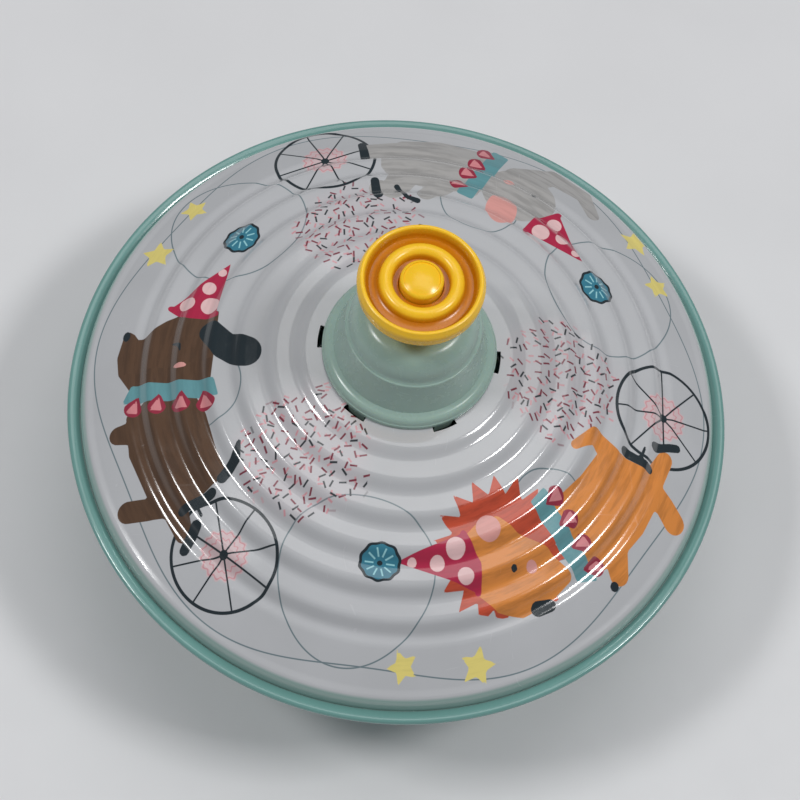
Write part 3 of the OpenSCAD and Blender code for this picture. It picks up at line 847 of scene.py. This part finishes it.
def build_collar():
    """Collar: domed neck, wall and flange with a web inside, screw bosses, and snap lugs that go
    down through the crown's slots and hook inwards."""
    r = COLLAR_R
    outer = join([[r - 0.25, 0], [r, 0.25]], arc([r - 0.35, 1.35], (0.35, 0.35), 0, 70, 4),
                 arc([r - 2.4, 1.7], (2.05, 2.0), 14, 76, 7),
                 [[r - 2.3, 3.95], [r - 2.75, 4.25], [r - 2.85, 4.6], [17.25, 13.9]],
                 arc([16.85, 14.0], (0.4, 0.4), 10, 90, 5), [[16.75, 14.5], [16.5, 14.9]],
                 arc([11, 14.3], (5.4, 8.2), 8, 90, 22))
    inner = [[10.2, 22.45], [9.5, 22.3], [9.2, 21.9], [9.2, 20.9], [9.7, 20.6], [12.4, 20.2],
             [14.2, 17.2], [15.2, 13.4], [17.4, 5.6], [17.2, 5.5], [3.5, 5.5], [3.3, 5.3], [3.3, 3.5],
             [17.5, 3.5], [17.9, 3.1], [17.9, 0.0]]
    body = lathe(join(outer, inner), 256)
    boss = lathe([[0, 8.2], [1.28, 8.2], [1.28, 0], [2.4, 0], [2.6, 0.2], [2.6, 9], [0, 9]], 40)
    lug = prism([[0, -3.2], [0.3, -3.4], [1.2, -3.4], [1.5, -3.2], [1.5, 0.1], [0, 0.1], [0, -0.45],
                 [-1.2, -0.45], [-1.2, -1.3]], 2.5)
    boss_turn = LUG_TURN + 180 / LUG_COUNT  # midway between two lugs
    extras = [turned_about_z((boss[0] + [SCREW_R, 0, 0], boss[1]), boss_turn + 360 / SCREW_COUNT * i)
              for i in range(SCREW_COUNT)]
    extras += [turned_about_z((lug[0] + [LUG_R, 0, 0], lug[1]), LUG_TURN + 360 / LUG_COUNT * i)
               for i in range(LUG_COUNT)]
    vertices, faces = merged(body, *extras)
    new_piece("collar_moulding", (vertices + [0, 0, SEAT], faces), MINT, "top", "collar")


def build_knob():
    """Knob: dished top with a ridge round the button's well, rolled rim, hollow stem with a core."""
    top, foot = KNOB_RIM, STEM_FOOT
    outer = join([[5.4, top - 5.2], [5.4, top - 3.1], [5.6, top - 2.75], [6.75, top - 2.65]],
                 arc([8.65, top - 1.95], (1.75, 1.9), 168, 12, 16),
                 [[10.6, top - 2.4], [11.1, top - 2.75], [12.6, top - 2.8], [13.1, top - 2.4],
                  [13.45, top - 1.5], [13.65, top - 0.8]],
                 arc([14.35, top - 0.7], (0.68, 0.7), 155, 55, 9),
                 arc([14.0, top - 2.2], (KNOB_R - 14.0, 1.95), 45, -20, 7), [15.35, top - 4.0],
                 arc([13.3, top - 4.2], (2.05, 2.1), -8, -75, 8),
                 [[11.6, top - 7.3], [10.2, top - 8.3], [9.2, top - 9.6], [8.7, top - 11.0],
                  [8.55, top - 12.7], [8.0, foot + 0.9]], arc([7.6, foot + 0.4], (0.4, 0.4), 0, -90, 4))
    inner = [[6.4, foot], [6.2, foot + 0.3], [6.6, top - 11.2], [7.4, top - 9.8], [10.8, top - 6.1],
             [11.0, top - 5.8], [10.6, top - 5.4], [5.2, top - 5.4], [4.8, top - 5.8], [4.8, foot],
             [2.75, foot], [2.75, top - 5.2]]
    body = lathe(join(outer, inner)[::-1], 256)
    rib = prism([[4.4, foot + 1], [6.6, foot + 1], [6.9, top - 5.3], [4.4, top - 5.3]], 0.6)
    ribs = [turned_about_z(rib, 90 * i) for i in range(4)]
    new_piece("knob_moulding", merged(body, *ribs), YELLOW, "handle", "knob")


def build_knob_cap():
    """Button: a shallow dome with a rounded edge, hollow underneath."""
    z = KNOB_RIM - 3.8
    profile = join([0, z + 0.9], [3.1, z + 0.9], [3.2, z + 0.8], [3.2, z], [5.2, z], [5.3, z + 0.1],
                   [5.3, z + 2.9], arc([4.2, z + 3.0], (1.1, 1.05), 5, 75, 8),
                   arc([0, z - 4.4], (10, 9), 64, 90, 10)[:-1], [0, z + 4.6])
    new_piece("knob_button", lathe(profile, 160), BUTTON, "handle", "knob_cap")


def build_rod():
    """Twisted strip: a rounded 5 x 1.6 mm bar turned by -360 degrees for each 32 mm of height. Point
    (x, y) of its outline at height z is turned by t = -TAU (z - lowest z) / 32 about Z."""
    half = [2.15, 0.45]  # middles of the outline's rounded corners
    round_r, lead = 0.35, 32
    corners = [(half[0], -half[1], -90), (half[0], half[1], 0), (-half[0], half[1], 90),
               (-half[0], -half[1], 180)]
    outline = np.vstack([arc([cx, cy], (round_r, round_r), start, start + 90, 4)
                         for cx, cy, start in corners])
    flats = 6  # cells along each long side
    closed = np.vstack([outline, outline[:1]])
    outline = np.vstack([a + (b - a) * np.arange(flats)[:, None] / flats if np.hypot(*(b - a)) > 1
                         else a[None] for a, b in zip(closed, closed[1:])])
    rows = 520
    height = np.linspace(ROD_LOW, ROD_HIGH, rows)
    turn = -(height - ROD_LOW) * TAU / lead
    c, s = np.cos(turn)[:, None], np.sin(turn)[:, None]
    x, y = outline[:, 0], outline[:, 1]
    places = np.stack([x * c - y * s, x * s + y * c, np.repeat(height[:, None], len(x), 1)], 2)
    count = len(outline)
    here = np.arange(rows * count).reshape(rows, count)
    beside = np.roll(here, -1, 1)
    sides = np.stack([here[:-1], beside[:-1], beside[1:], here[1:]], 2).reshape(-1, 4).tolist()
    ends = [here[0, ::-1].tolist(), here[-1].tolist()]
    strip = (places.reshape(-1, 3), sides + ends)
    new_piece("twisted_rod", strip, BRIGHT_STEEL, "handle", "spiral_rod")


def build_foot():
    """Foot: flared skirt on a flat ring, hollow at the pin."""
    r, top = FOOT_R, FOOT_TOP
    neck = arc([r - 2.2, 12.6], (7.6, 9.2), -90, -162, 22)
    profile = join([0, 1.2], [r - 6.2, 1.2], [r - 5.7, 1.0], [r - 5.3, 0.1], [r - 5.1, 0], [r - 0.7, 0],
                   arc([r - 0.6, 0.6], (0.6, 0.6), -80, 0, 5), [r, 2.4],
                   arc([r - 0.8, 2.4], (0.8, 0.8), 10, 80, 5), neck, [8, top - 1], [7.8, top - 0.4],
                   [7.3, top], [2.05, top], [2.0, top - 0.05], [2.0, 3.0], [0, 3.0])
    new_piece("foot_moulding", lathe(profile, 192), AMBER, "foot", "foot_base")


def build_pin():
    """Steel pivot: groove for the clip and a rounded tip."""
    tip = low_high("pivot_pin")[1][2]
    groove = low_high("pin_clip")[0][2] - 0.05
    profile = join([0, 3], [2, 3], [2, groove], [1.5, groove], [1.5, groove + 0.9], [2, groove + 0.9],
                   arc([0, tip - 1.2], (2, 1.2), 20, 90, 10)[:-1], [0, tip])
    new_piece("pivot", lathe(profile, 64), BRIGHT_STEEL, "foot", "pivot_pin")


def build_hub():
    """Base hub: flange under the bowl and a socket for the centre tube."""
    profile = [[4, 14.2], [4.2, 14.2], [13.2, 14.2], [13.6, 14.25], [14.8, 14.9], [15, 15.2],
               [15, 16.4], [14.9, 16.5], [9.1, 16.5], [9.1, 30.7], [8.8, 31], [7.2, 31], [7, 30.8],
               [7, 21.4], [4.8, 21.4], [4.8, 18.9], [4, 18.9]]
    new_piece("hub", lathe(profile, 160), IVORY, "top", "base_hub")


def painted_groove_shade(f):
    """1 in the two grooves of the knob's top face, either side of its ridge, where a darker orange is
    painted in as shade.
    """
    _, radius = f.round_place()
    ridge = f.maths("ABSOLUTE", f.minus(radius, 8.65))
    beside = f.times(f.between(ridge, 1.35, 2.0), f.between(radius, 13.75, 13.2))
    return f.times(beside, f.between(f.z, KNOB_RIM - 3.4, KNOB_RIM - 3.2))


MINT = moulded("mint plastic", (0.35, 0.49, 0.43))
# the knob's grooves get a darker orange: painted shade, standing in for shadow and light bounced in the
# yellow plastic
YELLOW = moulded("yellow plastic", (0.98, 0.58, 0.022), (0.52, 0.172, 0.001), painted_groove_shade)
BUTTON = moulded("button plastic", (0.97, 0.58, 0.018))
AMBER = moulded("amber plastic", (0.90, 0.42, 0.015))
IVORY = moulded("ivory plastic", (0.62, 0.56, 0.43))
BRIGHT_STEEL = steel("bright steel", (0.62, 0.62, 0.63), (0.16, 0.30))
PLATED = steel("plated steel", (0.57, 0.58, 0.60), (0.20, 0.34), False)
DARK_STEEL = steel("spring steel", (0.20, 0.20, 0.21), (0.28, 0.42), False)
BRASS = steel("brass", (0.66, 0.45, 0.16), (0.20, 0.34), False)

for build in (build_crown, build_bowl, build_collar, build_knob, build_knob_cap, build_rod, build_foot,
              build_pin, build_hub):
    build()

CARRIED = {"pin_clip": DARK_STEEL, "hub_ring": PLATED, "pin_bush": BRASS, "thrust_cap": PLATED,
           "centre_tube": BRIGHT_STEEL, "clutch_cup": IVORY, "clutch_screws": PLATED,
           "drive_nut": IVORY, "slot_plate": DARK_STEEL, "rod_stop": PLATED, "rod_washer": PLATED}
for node, material in CARRIED.items():
    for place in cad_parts[node].material_slots:
        place.material = material


# -------------------- stage, light and camera
def floor_material():
    f = Finish("floor")
    tone = f.mix(f.between(f.noise(60, 3), 0.3, 0.7), (0.74, 0.74, 0.75), (0.71, 0.71, 0.72))
    return f.finish(Base_Color=tone, Roughness=f.between(f.noise(8, 3), 0.3, 0.7, 0.55, 0.65))


def build_floor():
    """A flat square, 8 m across, under the foot."""
    half = 4.0
    mesh = bpy.data.meshes.new("floor")
    mesh.from_pydata([(-half, -half, 0), (half, -half, 0), (half, half, 0), (-half, half, 0)], [],
                     [(0, 1, 2, 3)])
    mesh.materials.append(floor_material())
    floor = bpy.data.objects.new("floor", mesh)
    bpy.context.scene.collection.objects.link(floor)


def facing(place, target):
    """Rotation that turns -Z from a place towards a target."""
    return (Vector(target) - Vector(place)).to_track_quat("-Z", "Y")


def softbox(name, place, size, power):
    """A rectangular light, in metres and watts, turned towards the top."""
    lamp = bpy.data.lights.new(name, "AREA")
    lamp.shape = "RECTANGLE"
    lamp.size, lamp.size_y = size
    lamp.energy = power
    light = bpy.data.objects.new(name, lamp)
    light.location = place
    light.rotation_mode = "QUATERNION"
    light.rotation_quaternion = facing(place, (0, 0, SEAM * MM))
    bpy.context.scene.collection.objects.link(light)


def build_camera(azimuth, elevation, distance, lens, lean):
    """Camera in front and above, angles in degrees; `lean` rolls it about its own axis."""
    a, e = math.radians(azimuth), math.radians(elevation)
    centre = Vector((0, 0, SEAM * MM))
    data = bpy.data.cameras.new("camera")
    data.lens = lens
    data.clip_start, data.clip_end = 0.01, 20
    camera = bpy.data.objects.new("camera", data)
    back = Vector((math.sin(a) * math.cos(e), -math.cos(a) * math.cos(e), math.sin(e)))
    camera.location = centre + distance * back
    camera.rotation_mode = "QUATERNION"
    roll = Matrix.Rotation(math.radians(lean), 4, "Z").to_quaternion()
    camera.rotation_quaternion = facing(camera.location, centre) @ roll
    bpy.context.scene.collection.objects.link(camera)
    bpy.context.scene.camera = camera


build_floor()
softbox("overhead", (0.10, 0.35, 1.20), (0.80, 0.80), 3.2)
softbox("left", (-0.66, -0.02, 1.03), (0.24, 0.18), 4.2)
softbox("right", (0.62, -0.10, 1.05), (0.26, 0.20), 4.8)
build_camera(azimuth=-9.5, elevation=65.6, distance=0.475, lens=78.0, lean=10.4)

world = bpy.data.worlds.new("studio")
world.use_nodes = True
world.node_tree.nodes["Background"].inputs["Color"].default_value = (0.92, 0.95, 1.0, 1)
world.node_tree.nodes["Background"].inputs["Strength"].default_value = 0.20
bpy.context.scene.world = world
bpy.context.scene.view_settings.view_transform = "Standard"
